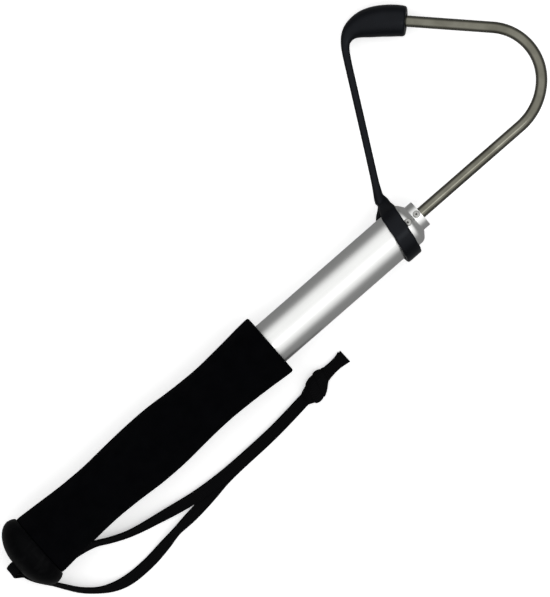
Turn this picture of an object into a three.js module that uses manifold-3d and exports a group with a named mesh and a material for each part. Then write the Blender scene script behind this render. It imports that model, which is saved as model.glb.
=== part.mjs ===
// Telescopic fishing gaff, pushed closed: a two-section aluminium pole with a bent hook, a rubber hook
// cover on a strap, a foam grip, a rubber butt cap and a webbing wrist lanyard.
// Millimetres. +X runs along the pole from butt to hook, +Y is the side of the hook's point, +Z is up.
// The gaff lies on the plane Z = 0. Along the pole, x is counted from the apex of the butt cap.
import * as THREE from 'three';
import { mergeVertices } from 'three/addons/utils/BufferGeometryUtils.js';
import Module from 'manifold-3d';

const wasm = await Module();
wasm.setup();

// ---- Driving dimensions ----

const CLEARANCE = 0.3;
const QUARTER_TURN = Math.PI / 2;
const DEGREE = Math.PI / 180;
const FINE_SIDES = 40;
const SIDES = 32;
const SMALL_SIDES = 16;
const WELD_DISTANCE = 1e-4;

// Outer tube: drawn aluminium, its mouth spun inwards to a lip.
const TUBE_RADIUS = 13.6;
const TUBE_WALL = 1.2;
const TUBE_REAR_X = 7;
const SPIN_CENTRE_X = 305.9;
const SPIN_RADIUS = 2.4;
const SPIN_ANGLE = 30 * DEGREE;
const SPIN_STEPS = 5;

// Inner tube, which slides in the outer one.
const INNER_RADIUS = 8.6;
const INNER_WALL = 1;
const INNER_REAR_X = 62;
const INNER_FRONT_X = 315;
const LIP_RADIUS = INNER_RADIUS + CLEARANCE;

// Butt cap: half an ellipsoid with a flat at its apex and a rounded rim.
const CAP_RADIUS = 23.2;
const CAP_DEPTH = 13.7;
const CAP_FLAT_RADIUS = 6.6;
const CAP_STEPS = 9;
const CAP_RIM = [[16.3, 22.5], [18.4, 21.3]];
const CAP_FLOOR_X = 6.5;
const SLOT_WIDTH = 8.6;
const SLOT_HEIGHT = 4;

// Foam grip: the outline's high and low points, as x and radius.
const GRIP_OUTLINE = [[18.8, 20.7], [61, 18.1], [108, 19.9], [155, 17.9], [196.6, 20.5]];
const GRIP_STEPS = 18;
const GRIP_FRONT_X = 198.4;
const GRIP_EDGE = 1.8;
const GRIP_EDGE_ANGLE = 60 * DEGREE;
const GRIP_EDGE_STEPS = 2;

// The pole lies on the rim of its cap, and its hook leans over until the boot touches down.
const AXIS_HEIGHT = CAP_RADIUS;
const HOOK_ROLL = -7.88 * DEGREE;

// Guide bush in the mouth, held by two blind rivets.
const BUSH_REAR_X = 284;
const BUSH_FRONT_X = 306.8;
const BUSH_CHAMFER = 1.5;
const BUSH_RIVET_X = 305.6;
const BUSH_RIVET_CLOCK = -3.9 * DEGREE;
const RIVET_SHANK_RADIUS = 1;
const RIVET_HOLE_RADIUS = 1.3;
const RIVET_HEAD_HEIGHT = 0.6;
const RIVET_RIM_HEIGHT = 0.21;
const RIVET_SHOULDER_HEIGHT = 0.48;
const RIVET_SHOULDER_SHARE = 0.7;
const RIVET_DIMPLE_RADIUS = 0.5;
const RIVET_DIMPLE_DEPTH = 0.35;
const RIVET_SEAT = 0.1;
const BUSH_RIVET_HEAD = 2.3;
const BUSH_RIVET_TIP = 10.4;
const HOOK_RIVET_HEAD = 2;

// Lanyard pin across the tube's rear end.
const PIN_X = 13;
const PIN_RADIUS = 1.5;

// Hook: round stainless wire, straight, two blended bends, straight leg and a needle point.
const WIRE_RADIUS = 3.4;
const WIRE_SIDES = 12;
const WIRE_STEPS = 72;
const WIRE_REAR_X = 298;
const BEND_START_X = 392.3;
const FIRST_BEND_RADIUS = 36.7;
const FIRST_BEND_ANGLE = 46.8 * DEGREE;
const SECOND_BEND_RADIUS = 31.2;
const SECOND_BEND_ANGLE = 87.6 * DEGREE;
const LEG_LENGTH = 51.9;
const POINT_IN_BOOT = 24;
const POINT_TAPER = 22;
const POINT_BLUNT = 0.06;
const HOOK_PLUG_REAR_X = 296;
const HOOK_RIVET_X = 312.6;

// Hook cover: a ring round the mouth, a strap, and a boot over the point.
const RING_X = 295.3;
const RING_INNER_RADIUS = 14.6;
const RING_WALL = 2.7;
const RING_HALF_WIDTH = 5.3;
const RING_EDGE = 0.9;
const RING_TEAR_ANGLE = 42 * DEGREE;
// The band narrows to this share of its width where it runs into the strap.
const RING_TIP_SHARE = 0.52;
// How far the band's middle stands forward, at equal angles from the strap over the top and round.
const RING_LEAN = [8, 6.2, 4.9, 4, 2.8, 1.6, 0.7, 0.3, -0.6, -1.5, -1, 1.4];
const STRAP_WIDTH = 4.7;
const STRAP_DEPTH = 3.6;
const STRAP_START = [303.6, 25.3];
const STRAP_END = [344.4, 101.7];
// The boot's centre line from mouth to strap, with its width in the hook's plane and its depth across.
const BOOT_STATIONS = [
  [382.2, 91.8, 18.2, 18.2],
  [378.9, 95.2, 18.8, 18.8],
  [375.1, 98.5, 19, 19],
  [371.2, 101.6, 18.7, 18.6],
  [367.2, 104.2, 18, 17.6],
  [362.9, 106.4, 16.4, 15.6],
  [358.4, 107.8, 13.6, 12.4],
  [354, 108.1, 10.4, 8.8],
  [350, 106.9, 7.4, 5.8],
  [347.1, 104.9, 5.2, 4.2],
  [345.1, 102.5, STRAP_WIDTH, STRAP_DEPTH],
];
const BOOT_BORE_RADIUS = WIRE_RADIUS + CLEARANCE;
const BOOT_BORE_STRAIGHT = 8;
const BOOT_BORE_DEPTH = 25.6;
const BOOT_BORE_TIP_RADIUS = 0.7;

// Twist lock at the rear of the inner tube.
const STUD_RADIUS = 3;
const STUD_REAR_X = 24.5;
const STUD_FRONT_X = 78;
const STUD_PLUG_FRONT_X = 82;
const STUD_PIN_X = 70;
const STUD_PIN_RADIUS = 1.2;
const COLLAR_REAR_X = 76;
const COLLAR_FRONT_X = 84;
const EXPANDER_REAR_X = 36;
const EXPANDER_FRONT_X = 61.7;
const EXPANDER_BORE_X = 54;
const EXPANDER_MOUTH_RADIUS = 9.6;
const EXPANDER_THROAT_RADIUS = 5.4;
const EXPANDER_SLIT = 2.4;
const CONE_REAR_X = 30;
const CONE_FRONT_X = 49;
const CONE_REAR_RADIUS = 9;
const CONE_FRONT_RADIUS = 6;
const CONE_COLLAR_X = 34;
const CONE_KEY_WIDTH = 1.6;
const CONE_KEY_LENGTH = 9;
const CONE_KEY_RADIUS = 11.6;
const NUT_REAR_X = 26;
const NUT_FRONT_X = 29.5;
const NUT_RADIUS = 5.6;

// Lanyard: flat webbing, doubled round the pin and tied in one overhand knot.
const WEBBING_WIDTH = 7;
const WEBBING_THICKNESS = 1.3;
const WEBBING_CHAMFER = 0.35;
const STRAND_STEP = 3.2;
const BIGHT_STEP = 1.5;
// Points are x, y and height above the ground. The band's width lies along the compass angle given fourth,
// tipped up by the angle given fifth, so that 0 lies flat and 90 stands on edge.
const BIGHT_ROUTE = [
  [0.3, 0, 22.1, 90, 0],
  [4.5, 0, 22.1, 90, 0],
  [8.5, 0, 21.7, 90, 0],
  [11.4, 0, 20.8, 90, 0],
  [13.6, 0, 20.7, 90, 0],
  [15.3, 0, 21.8, 90, 0],
  [15.8, 0, 23.2, 90, 0],
  [15.3, 0, 24.6, 90, 0],
  [13.6, 0, 25.7, 90, 0],
  [11.4, 0, 25.6, 90, 0],
  [8.5, 0, 24.7, 90, 0],
  [4.5, 0, 24.3, 90, 0],
  [0.3, 0, 24.3, 90, 0],
];
const STRAND_A_ROUTE = [
  [-0.1, 0, 24.3, 90, 0],
  [-0.9, 0, 24.3, 90, 0],
  [-3, -0.3, 23.6, 90, 0],
  [-4.2, -0.9, 21.2, 88, 0],
  [-4.3, -1.5, 17.6, 86, 0],
  [-3.4, -2.3, 13.2, 84, 0],
  [-1.8, -3.4, 8.8, 80, 0],
  [0.4, -5, 4.6, 74, 0],
  [3, -7.4, 1.8, 66, 0],
  [6.6, -10.4, 0.8, 60, 0],
  [11.4, -12.9, 0.75, 62, 0],
  [16.5, -14.6, 0.75, 72, 0],
  [24, -15.8, 1.45, 80, 12],
  [33, -17.4, 2.85, 76, 40],
  [43.3, -20.6, 3.45, 66, 60],
  [52, -25, 3.45, 62, 60],
  [61, -28.8, 3.35, 66, 56],
  [70, -31.4, 3.15, 74, 48],
  [79.7, -33.5, 2.7, 78, 36],
  [90, -35.7, 2.4, 79, 20],
  [101.9, -38, 2.5, 81, 0],
  [113, -39.4, 2.45, 84, 0],
  [124.2, -40.2, 2.45, 87, 0],
  [135, -40.5, 2.45, 89, 0],
  [146.4, -40.4, 2.45, 91, 0],
  [157.5, -40.2, 2.45, 92, 0],
  [168.7, -39.7, 2.45, 94, 0],
  [180, -38.7, 2.45, 96, 0],
  [191.2, -37.6, 2.45, 96, 0],
];
const STRAND_B_ROUTE = [
  [-0.1, 0, 22.1, 90, 0],
  [-0.7, 0, 22.1, 90, 0],
  [-1.8, -0.3, 21.4, 90, 0],
  [-2.3, -0.7, 19.4, 88, 0],
  [-1.8, -1.2, 16.2, 86, 0],
  [-0.6, -2.1, 12.6, 84, 0],
  [0.7, -3.7, 9.2, 78, 0],
  [1.9, -6.6, 6.4, 66, 0],
  [3.8, -10.8, 4.6, 50, 12],
  [6.2, -15.8, 3.6, 38, 40],
  [9.4, -21.6, 3.7, 34, 68],
  [13.8, -28.2, 3.6, 36, 68],
  [19.6, -35.8, 3.5, 44, 64],
  [28.2, -43.2, 3.4, 56, 58],
  [37, -47.6, 2.65, 70, 34],
  [46.3, -49.7, 1.5, 82, 12],
  [60.9, -49.8, 1.25, 94, 8],
  [72.5, -48.4, 2.05, 98, 22],
  [84.4, -46.6, 3.1, 99, 46],
  [92, -46, 2.45, 97, 30],
  [99, -45.5, 1.4, 96, 10],
  [107, -44.7, 0.75, 95, 0],
  [115.5, -43.6, 0.75, 94, 0],
  [124.2, -42.2, 0.75, 93, 0],
  [135, -41.4, 0.75, 92, 0],
  [146.4, -41.1, 0.75, 91, 0],
  [157.5, -40.8, 0.75, 92, 0],
  [168.7, -40.2, 0.75, 94, 0],
  [180, -39.2, 0.75, 96, 0],
  [191.2, -38, 0.75, 96, 0],
];
// The knot's centre line as x, y and height, with its width on the ground and its depth upwards.
const KNOT_STATIONS = [
  [191.9, -37.9, 1.65, 7, 3],
  [194, -37.9, 2.8, 9.4, 5.4],
  [196, -38.1, 3.7, 11.8, 7.2],
  [198.5, -37.8, 4.4, 13.6, 8.6],
  [201.5, -37.2, 4.7, 14.4, 9.2],
  [204.5, -36.1, 4.6, 13.5, 9],
  [207, -35.1, 4.1, 12, 8],
  [209.5, -34.4, 3.2, 9.9, 6.2],
  [211.6, -34.3, 2.3, 8, 4.4],
  [213, -34.4, 1.65, 7, 3],
];
const TAIL_HEIGHTS = [0.12, 1.82];
const TAIL_OUTLINES = [
  [[213.4, -38], [219.8, -37.6], [226, -38.2], [227.4, -33], [226.6, -31.3], [219.6, -31], [213.4, -31.1]],
  [[213.4, -37.7], [219.8, -37.4], [225.2, -37.6], [226.6, -33], [225.6, -30.4], [219.6, -30.7], [213.4, -30.9]],
];

// ---- Shape helpers ----

// A turned piece about the X axis, from profile points of x and radius. Outer walls run towards +x.
function turned(profile, sides = SIDES) {
  const geometry = new THREE.LatheGeometry(profile.map(([x, radius]) => new THREE.Vector2(radius, x)), sides);
  return geometry.rotateZ(-QUARTER_TURN);
}

// The same about the Z axis, from profile points of height and radius.
function turnedUpright(profile, sides = SMALL_SIDES) {
  return turned(profile, sides).rotateY(-QUARTER_TURN);
}

function uprightRod(radius, height, sides = SMALL_SIDES) {
  return new THREE.CylinderGeometry(radius, radius, height, sides).rotateX(QUARTER_TURN);
}

function sleeve(rearX, frontX, outerRadius, innerRadius, sides = SIDES) {
  return turned([
    [rearX, innerRadius],
    [rearX, outerRadius],
    [frontX, outerRadius],
    [frontX, innerRadius],
    [rearX, innerRadius],
  ], sides);
}

// Points on an arc in the x-radius plane; 0 points along +x and a quarter turn points outwards.
function arcPoints(centreX, centreRadius, size, fromAngle, toAngle, steps) {
  return Array.from({ length: steps + 1 }, (_, i) => {
    const angle = fromAngle + (toAngle - fromAngle) * i / steps;
    return [centreX + size * Math.cos(angle), centreRadius + size * Math.sin(angle)];
  });
}

function asManifold(geometry) {
  const bare = geometry.clone();
  bare.deleteAttribute('normal');
  bare.deleteAttribute('uv');
  const merged = mergeVertices(bare, WELD_DISTANCE);
  return new wasm.Manifold(new wasm.Mesh({
    numProp: 3,
    vertProperties: merged.attributes.position.array,
    triVerts: new Uint32Array(merged.index.array),
  }));
}

function asGeometry(solid) {
  const mesh = solid.getMesh();
  const geometry = new THREE.BufferGeometry();
  geometry.setAttribute('position', new THREE.BufferAttribute(mesh.vertProperties, 3));
  geometry.setIndex(new THREE.BufferAttribute(mesh.triVerts, 1));
  geometry.computeVertexNormals();
  return geometry;
}

function cut(geometry, ...tools) {
  return asGeometry(tools.reduce((solid, tool) => solid.subtract(asManifold(tool)), asManifold(geometry)));
}

function join(geometry, other) {
  return asGeometry(asManifold(geometry).add(asManifold(other)));
}

// A closed skin over rings of points, each ring given as an array of Vector3 in the same order.
function skinned(rings) {
  const sides = rings[0].length;
  const positions = rings.flat().flatMap((point) => point.toArray());
  const index = [];
  for (let ring = 0; ring + 1 < rings.length; ring += 1) {
    for (let side = 0; side < sides; side += 1) {
      const here = ring * sides + side;
      const beside = ring * sides + (side + 1) % sides;
      index.push(here, here + sides, beside, beside, here + sides, beside + sides);
    }
  }
  const lastRing = (rings.length - 1) * sides;
  for (let side = 1; side + 1 < sides; side += 1) {
    index.push(0, side, side + 1);
    index.push(lastRing, lastRing + side + 1, lastRing + side);
  }
  const geometry = new THREE.BufferGeometry();
  geometry.setAttribute('position', new THREE.Float32BufferAttribute(positions, 3));
  geometry.setIndex(index);
  geometry.computeVertexNormals();
  return geometry;
}

// A round-sided body along level stations of x, y, height, width and depth.
function lofted(stations, sides) {
  const centres = stations.map(([x, y, z]) => new THREE.Vector3(x, y, z));
  const rings = stations.map(([, , , width, depth], i) => {
    const before = centres[Math.max(i - 1, 0)];
    const after = centres[Math.min(i + 1, centres.length - 1)];
    const across = new THREE.Vector3(after.y - before.y, before.x - after.x, 0).normalize();
    return Array.from({ length: sides }, (_, side) => {
      const angle = 2 * Math.PI * side / sides;
      return centres[i].clone()
        .addScaledVector(across, width / 2 * Math.cos(angle))
        .add(new THREE.Vector3(0, 0, depth / 2 * Math.sin(angle)));
    });
  });
  return skinned(rings);
}

// ---- Pole ----

function outerTube() {
  const centreRadius = TUBE_RADIUS - SPIN_RADIUS;
  const innerSize = SPIN_RADIUS - TUBE_WALL;
  const outerArc = arcPoints(SPIN_CENTRE_X, centreRadius, SPIN_RADIUS, QUARTER_TURN, SPIN_ANGLE, SPIN_STEPS);
  const innerArc = arcPoints(SPIN_CENTRE_X, centreRadius, innerSize, SPIN_ANGLE, QUARTER_TURN, SPIN_STEPS);
  const toLip = ([x, radius]) => [x + (radius - LIP_RADIUS) * Math.tan(SPIN_ANGLE), LIP_RADIUS];
  const innerRadius = TUBE_RADIUS - TUBE_WALL;
  const wall = turned([
    [TUBE_REAR_X, innerRadius],
    [TUBE_REAR_X, TUBE_RADIUS],
    ...outerArc,
    toLip(outerArc.at(-1)),
    toLip(innerArc[0]),
    ...innerArc,
    [TUBE_REAR_X, innerRadius],
  ], FINE_SIDES);
  const rivetHoles = uprightRod(RIVET_HOLE_RADIUS, 3 * TUBE_RADIUS).rotateX(BUSH_RIVET_CLOCK);
  const pinHoles = uprightRod(PIN_RADIUS + CLEARANCE, 3 * TUBE_RADIUS).rotateX(QUARTER_TURN);
  return cut(wall, rivetHoles.translate(BUSH_RIVET_X, 0, 0), pinHoles.translate(PIN_X, 0, 0));
}

function mouthBush() {
  const outerRadius = TUBE_RADIUS - TUBE_WALL - CLEARANCE;
  const body = turned([
    [BUSH_REAR_X, LIP_RADIUS],
    [BUSH_REAR_X, outerRadius],
    [BUSH_FRONT_X - BUSH_CHAMFER, outerRadius],
    [BUSH_FRONT_X, outerRadius - BUSH_CHAMFER],
    [BUSH_FRONT_X, LIP_RADIUS],
    [BUSH_REAR_X, LIP_RADIUS],
  ]);
  const holeFloor = BUSH_RIVET_TIP - CLEARANCE;
  const holes = [1, -1].map((side) => uprightRod(RIVET_HOLE_RADIUS, TUBE_RADIUS - holeFloor)
    .translate(0, 0, side * (TUBE_RADIUS + holeFloor) / 2)
    .rotateX(BUSH_RIVET_CLOCK)
    .translate(BUSH_RIVET_X, 0, 0));
  return cut(body, ...holes);
}

// Profile of a blind rivet's head from its rim inwards, as height above the seat and radius.
function rivetHead(headRadius) {
  return [
    [0, headRadius],
    [RIVET_RIM_HEIGHT, headRadius],
    [RIVET_SHOULDER_HEIGHT, headRadius * RIVET_SHOULDER_SHARE],
    [RIVET_HEAD_HEIGHT, RIVET_DIMPLE_RADIUS],
    [RIVET_HEAD_HEIGHT - RIVET_DIMPLE_DEPTH, RIVET_DIMPLE_RADIUS],
    [RIVET_HEAD_HEIGHT - RIVET_DIMPLE_DEPTH, 0],
  ];
}

function bushRivet(side) {
  const seat = TUBE_RADIUS + RIVET_SEAT;
  const shankLength = seat - BUSH_RIVET_TIP;
  const profile = [[-shankLength, 0], [-shankLength, RIVET_SHANK_RADIUS], [0, RIVET_SHANK_RADIUS]];
  return turnedUpright([...profile, ...rivetHead(BUSH_RIVET_HEAD)])
    .translate(0, 0, seat)
    .rotateX(BUSH_RIVET_CLOCK + (side < 0 ? Math.PI : 0))
    .translate(BUSH_RIVET_X, 0, 0);
}

function foamGrip() {
  const bore = TUBE_RADIUS + CLEARANCE;
  const curve = new THREE.SplineCurve(GRIP_OUTLINE.map(([x, radius]) => new THREE.Vector2(x, radius)));
  const outline = curve.getPoints(GRIP_STEPS).map((point) => point.toArray());
  const rearX = GRIP_OUTLINE[0][0];
  const edgeRadius = outline.at(-1)[1] - GRIP_EDGE;
  return turned([
    [rearX, bore],
    ...outline,
    ...arcPoints(GRIP_FRONT_X - GRIP_EDGE, edgeRadius, GRIP_EDGE, GRIP_EDGE_ANGLE, 0, GRIP_EDGE_STEPS),
    [GRIP_FRONT_X, bore],
    [rearX, bore],
  ], FINE_SIDES);
}

function buttCap() {
  const flatAngle = Math.asin(CAP_FLAT_RADIUS / CAP_RADIUS);
  const dome = Array.from({ length: CAP_STEPS + 1 }, (_, i) => {
    const angle = flatAngle + (QUARTER_TURN - flatAngle) * i / CAP_STEPS;
    return [CAP_DEPTH * (1 - Math.cos(angle)), CAP_RADIUS * Math.sin(angle)];
  });
  const socket = TUBE_RADIUS + CLEARANCE;
  const frontX = CAP_RIM.at(-1)[0];
  const apexX = dome[0][0];
  const body = turned([
    [apexX, 0],
    ...dome,
    ...CAP_RIM,
    [frontX, socket],
    [CAP_FLOOR_X, socket],
    [CAP_FLOOR_X, 0],
  ], FINE_SIDES);
  return cut(body, new THREE.BoxGeometry(4 * CAP_FLOOR_X, SLOT_WIDTH, SLOT_HEIGHT));
}

function lanyardPin() {
  return uprightRod(PIN_RADIUS, 2 * TUBE_RADIUS).rotateX(QUARTER_TURN).translate(PIN_X, 0, 0);
}

// ---- Twist lock ----

function stopCollar() {
  return sleeve(COLLAR_REAR_X, COLLAR_FRONT_X, TUBE_RADIUS - TUBE_WALL - CLEARANCE, INNER_RADIUS + CLEARANCE);
}

function studPlug() {
  const radius = INNER_RADIUS - INNER_WALL - CLEARANCE;
  const bore = STUD_RADIUS + CLEARANCE;
  const body = turned([
    [INNER_REAR_X, bore],
    [INNER_REAR_X, radius],
    [STUD_PLUG_FRONT_X, radius],
    [STUD_PLUG_FRONT_X, 0],
    [STUD_FRONT_X + CLEARANCE, 0],
    [STUD_FRONT_X + CLEARANCE, bore],
    [INNER_REAR_X, bore],
  ]);
  return cut(body, studPinHole());
}

function studPinHole() {
  return uprightRod(STUD_PIN_RADIUS + CLEARANCE, 3 * INNER_RADIUS).translate(STUD_PIN_X, 0, 0);
}

function studPin() {
  return uprightRod(STUD_PIN_RADIUS, 2 * INNER_RADIUS).translate(STUD_PIN_X, 0, 0);
}

function lockStud() {
  const chamfer = STUD_RADIUS / 5;
  const body = turned([
    [STUD_REAR_X, 0],
    [STUD_REAR_X, STUD_RADIUS - chamfer],
    [STUD_REAR_X + chamfer, STUD_RADIUS],
    [STUD_FRONT_X, STUD_RADIUS],
    [STUD_FRONT_X, 0],
  ], SMALL_SIDES);
  return cut(body, studPinHole());
}

function studEndNut() {
  const hexagon = new THREE.Shape();
  for (let corner = 0; corner < 6; corner += 1) {
    const angle = corner * Math.PI / 3;
    hexagon[corner ? 'lineTo' : 'moveTo'](NUT_RADIUS * Math.cos(angle), NUT_RADIUS * Math.sin(angle));
  }
  hexagon.closePath();
  hexagon.holes.push(new THREE.Path().absarc(0, 0, STUD_RADIUS + CLEARANCE, 0, 2 * Math.PI, true));
  const options = { depth: NUT_FRONT_X - NUT_REAR_X, bevelEnabled: false, curveSegments: SMALL_SIDES / 2 };
  return new THREE.ExtrudeGeometry(hexagon, options).rotateY(QUARTER_TURN).translate(NUT_REAR_X, 0, 0);
}

function lockExpander() {
  const outerRadius = TUBE_RADIUS - TUBE_WALL - CLEARANCE;
  const bore = STUD_RADIUS + CLEARANCE;
  const body = turned([
    [EXPANDER_REAR_X, EXPANDER_MOUTH_RADIUS],
    [EXPANDER_REAR_X, outerRadius],
    [EXPANDER_FRONT_X, outerRadius],
    [EXPANDER_FRONT_X, bore],
    [EXPANDER_BORE_X, bore],
    [EXPANDER_BORE_X, EXPANDER_THROAT_RADIUS],
    [EXPANDER_REAR_X, EXPANDER_MOUTH_RADIUS],
  ]);
  const slitLength = EXPANDER_BORE_X - EXPANDER_REAR_X + 1;
  const slit = new THREE.BoxGeometry(slitLength, EXPANDER_SLIT, outerRadius + 1)
    .translate(EXPANDER_REAR_X - 1 + slitLength / 2, 0, (outerRadius + 1) / 2);
  return cut(body, slit);
}

function lockCone() {
  const bore = STUD_RADIUS + CLEARANCE;
  const body = turned([
    [CONE_REAR_X, bore],
    [CONE_REAR_X, CONE_REAR_RADIUS],
    [CONE_COLLAR_X, CONE_REAR_RADIUS],
    [CONE_FRONT_X, CONE_FRONT_RADIUS],
    [CONE_FRONT_X, bore],
    [CONE_REAR_X, bore],
  ]);
  const keyHeight = CONE_KEY_RADIUS - CONE_FRONT_RADIUS;
  const key = new THREE.BoxGeometry(CONE_KEY_LENGTH, CONE_KEY_WIDTH, keyHeight)
    .translate(CONE_COLLAR_X + CONE_KEY_LENGTH / 2, 0, CONE_FRONT_RADIUS + keyHeight / 2);
  return join(body, key);
}

// ---- Inner tube and hook ----

function innerTube() {
  const wall = sleeve(INNER_REAR_X, INNER_FRONT_X, INNER_RADIUS, INNER_RADIUS - INNER_WALL);
  return cut(wall, hookRivetHole(), studPinHole());
}

function hookRivetHole() {
  return uprightRod(RIVET_HOLE_RADIUS, 3 * INNER_RADIUS).translate(HOOK_RIVET_X, 0, 0);
}

function hookPlug() {
  const radius = INNER_RADIUS - INNER_WALL - CLEARANCE;
  const bore = WIRE_RADIUS + CLEARANCE;
  const body = turned([
    [HOOK_PLUG_REAR_X, 0],
    [HOOK_PLUG_REAR_X, radius],
    [INNER_FRONT_X, radius],
    [INNER_FRONT_X, bore],
    [WIRE_REAR_X - CLEARANCE, bore],
    [WIRE_REAR_X - CLEARANCE, 0],
  ]);
  return cut(body, hookRivetHole());
}

function hookRivet() {
  const seat = INNER_RADIUS + RIVET_SEAT;
  const head = rivetHead(HOOK_RIVET_HEAD).map(([height, radius]) => [seat + height, radius]);
  const foot = head.map(([height, radius]) => [-height, radius]).reverse();
  const profile = [...foot, [-seat, RIVET_SHANK_RADIUS], [seat, RIVET_SHANK_RADIUS], ...head];
  return turnedUpright(profile).translate(HOOK_RIVET_X, 0, 0);
}

// A path in the XY plane, made of straights and tangent arcs, that can carry an extruded section.
class WireCurve extends THREE.Curve {
  constructor(start) {
    super();
    this.path = new THREE.Path();
    this.path.moveTo(start.x, start.y);
    this.end = start.clone();
    this.heading = 0;
  }

  straight(length) {
    this.end.x += length * Math.cos(this.heading);
    this.end.y += length * Math.sin(this.heading);
    this.path.lineTo(this.end.x, this.end.y);
    return this;
  }

  bend(radius, angle) {
    const centreX = this.end.x - radius * Math.sin(this.heading);
    const centreY = this.end.y + radius * Math.cos(this.heading);
    const from = this.heading - QUARTER_TURN;
    this.path.absarc(centreX, centreY, radius, from, from + angle, false);
    this.heading += angle;
    this.end.set(centreX + radius * Math.sin(this.heading), centreY - radius * Math.cos(this.heading));
    return this;
  }

  getPoint(t) {
    const point = this.path.getPoint(t);
    return new THREE.Vector3(point.x, point.y, 0);
  }
}

function hookCurve() {
  return new WireCurve(new THREE.Vector2(WIRE_REAR_X, 0))
    .straight(BEND_START_X - WIRE_REAR_X)
    .bend(FIRST_BEND_RADIUS, FIRST_BEND_ANGLE)
    .bend(SECOND_BEND_RADIUS, SECOND_BEND_ANGLE)
    .straight(LEG_LENGTH + POINT_IN_BOOT);
}

// Draws the wire's last stretch in to a needle point, measured back from the end of its straight leg.
function sharpen(geometry, tip, heading) {
  const along = new THREE.Vector3(Math.cos(heading), Math.sin(heading), 0);
  const position = geometry.attributes.position;
  const vertex = new THREE.Vector3();
  for (let i = 0; i < position.count; i += 1) {
    vertex.fromBufferAttribute(position, i);
    const behindTip = tip.clone().sub(vertex).dot(along);
    if (behindTip < POINT_TAPER && vertex.distanceTo(tip) < POINT_TAPER + WIRE_RADIUS) {
      const centre = tip.clone().addScaledVector(along, -behindTip);
      const share = Math.max(behindTip / POINT_TAPER, POINT_BLUNT);
      vertex.sub(centre).multiplyScalar(share).add(centre);
      position.setXYZ(i, vertex.x, vertex.y, vertex.z);
    }
  }
  return geometry;
}

function circleShape(radius, sides) {
  return new THREE.Shape(Array.from({ length: sides }, (_, side) => {
    const angle = 2 * Math.PI * side / sides;
    return new THREE.Vector2(radius * Math.cos(angle), radius * Math.sin(angle));
  }));
}

function hook() {
  const curve = hookCurve();
  const options = { steps: WIRE_STEPS, extrudePath: curve };
  const wire = new THREE.ExtrudeGeometry(circleShape(WIRE_RADIUS, WIRE_SIDES), options);
  const tip = new THREE.Vector3(curve.end.x, curve.end.y, 0);
  return cut(sharpen(wire, tip, curve.heading), hookRivetHole());
}

// ---- Hook cover ----

// The band is turned as a plain ring, then drawn out towards the strap and leaned along the pole.
function coverRing() {
  const outerRadius = RING_INNER_RADIUS + RING_WALL;
  const edge = RING_EDGE;
  const half = RING_HALF_WIDTH;
  const band = turned([
    [-half, RING_INNER_RADIUS],
    [-half, outerRadius - edge],
    [edge - half, outerRadius],
    [half - edge, outerRadius],
    [half, outerRadius - edge],
    [half, RING_INNER_RADIUS],
    [-half, RING_INNER_RADIUS],
  ], FINE_SIDES);
  const lean = new THREE.CatmullRomCurve3(RING_LEAN.map((shift) => new THREE.Vector3(shift, 0, 0)), true);
  const middleRadius = RING_INNER_RADIUS + RING_WALL / 2;
  const position = band.attributes.position;
  for (let i = 0; i < position.count; i += 1) {
    const y = position.getY(i);
    const z = position.getZ(i);
    const angle = Math.atan2(z, y);
    const turn = (angle / (2 * Math.PI) + 1) % 1;
    const tear = Math.max(0, RING_TEAR_ANGLE - Math.abs(angle));
    const radius = Math.hypot(y, z) + middleRadius / Math.cos(tear) - middleRadius;
    const narrowing = 1 - (1 - RING_TIP_SHARE) * tear / RING_TEAR_ANGLE;
    const x = RING_X + position.getX(i) * narrowing + lean.getPoint(turn).x;
    position.setXYZ(i, x, radius * Math.cos(angle), radius * Math.sin(angle));
  }
  return band;
}

function coverStrap() {
  const ends = [STRAP_START, STRAP_END].map(([x, y]) => [x, y, 0, STRAP_WIDTH, STRAP_DEPTH]);
  const [start, end] = ends;
  const halfway = start.map((value, i) => (value + end[i]) / 2);
  return lofted([start, halfway, end], SMALL_SIDES);
}

function coverBoot() {
  const body = lofted(BOOT_STATIONS.map(([x, y, width, depth]) => [x, y, 0, width, depth]), SIDES);
  const curve = hookCurve();
  const bore = turned([
    [-1, 0],
    [-1, BOOT_BORE_RADIUS],
    [BOOT_BORE_STRAIGHT, BOOT_BORE_RADIUS],
    [BOOT_BORE_DEPTH, BOOT_BORE_TIP_RADIUS],
    [BOOT_BORE_DEPTH, 0],
  ], SMALL_SIDES);
  const mouthX = curve.end.x - POINT_IN_BOOT * Math.cos(curve.heading);
  const mouthY = curve.end.y - POINT_IN_BOOT * Math.sin(curve.heading);
  return cut(body, bore.rotateZ(curve.heading).translate(mouthX, mouthY, 0));
}

// ---- Lanyard ----

// A route that turns and tips the webbing's width by the angles given with each point.
class WebbingCurve extends THREE.CatmullRomCurve3 {
  constructor(route) {
    super(route.map(([x, y, z]) => new THREE.Vector3(x, y, z)), false, 'centripetal');
    this.widths = route.map(([, , , compass, tip]) => {
      const level = Math.cos(tip * DEGREE);
      const [east, north] = [Math.cos(compass * DEGREE), Math.sin(compass * DEGREE)];
      return new THREE.Vector3(level * east, level * north, Math.sin(tip * DEGREE));
    });
  }

  widthAt(t) {
    const place = t * (this.widths.length - 1);
    const before = Math.min(Math.floor(place), this.widths.length - 2);
    return this.widths[before].clone().lerp(this.widths[before + 1], place - before);
  }

  computeFrenetFrames(steps) {
    const frames = { tangents: [], normals: [], binormals: [] };
    for (let step = 0; step <= steps; step += 1) {
      const t = this.getUtoTmapping(step / steps);
      const tangent = this.getTangent(t);
      const width = this.widthAt(t);
      width.addScaledVector(tangent, -width.dot(tangent)).normalize();
      frames.tangents.push(tangent);
      frames.normals.push(width);
      frames.binormals.push(tangent.clone().cross(width));
    }
    return frames;
  }
}

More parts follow.
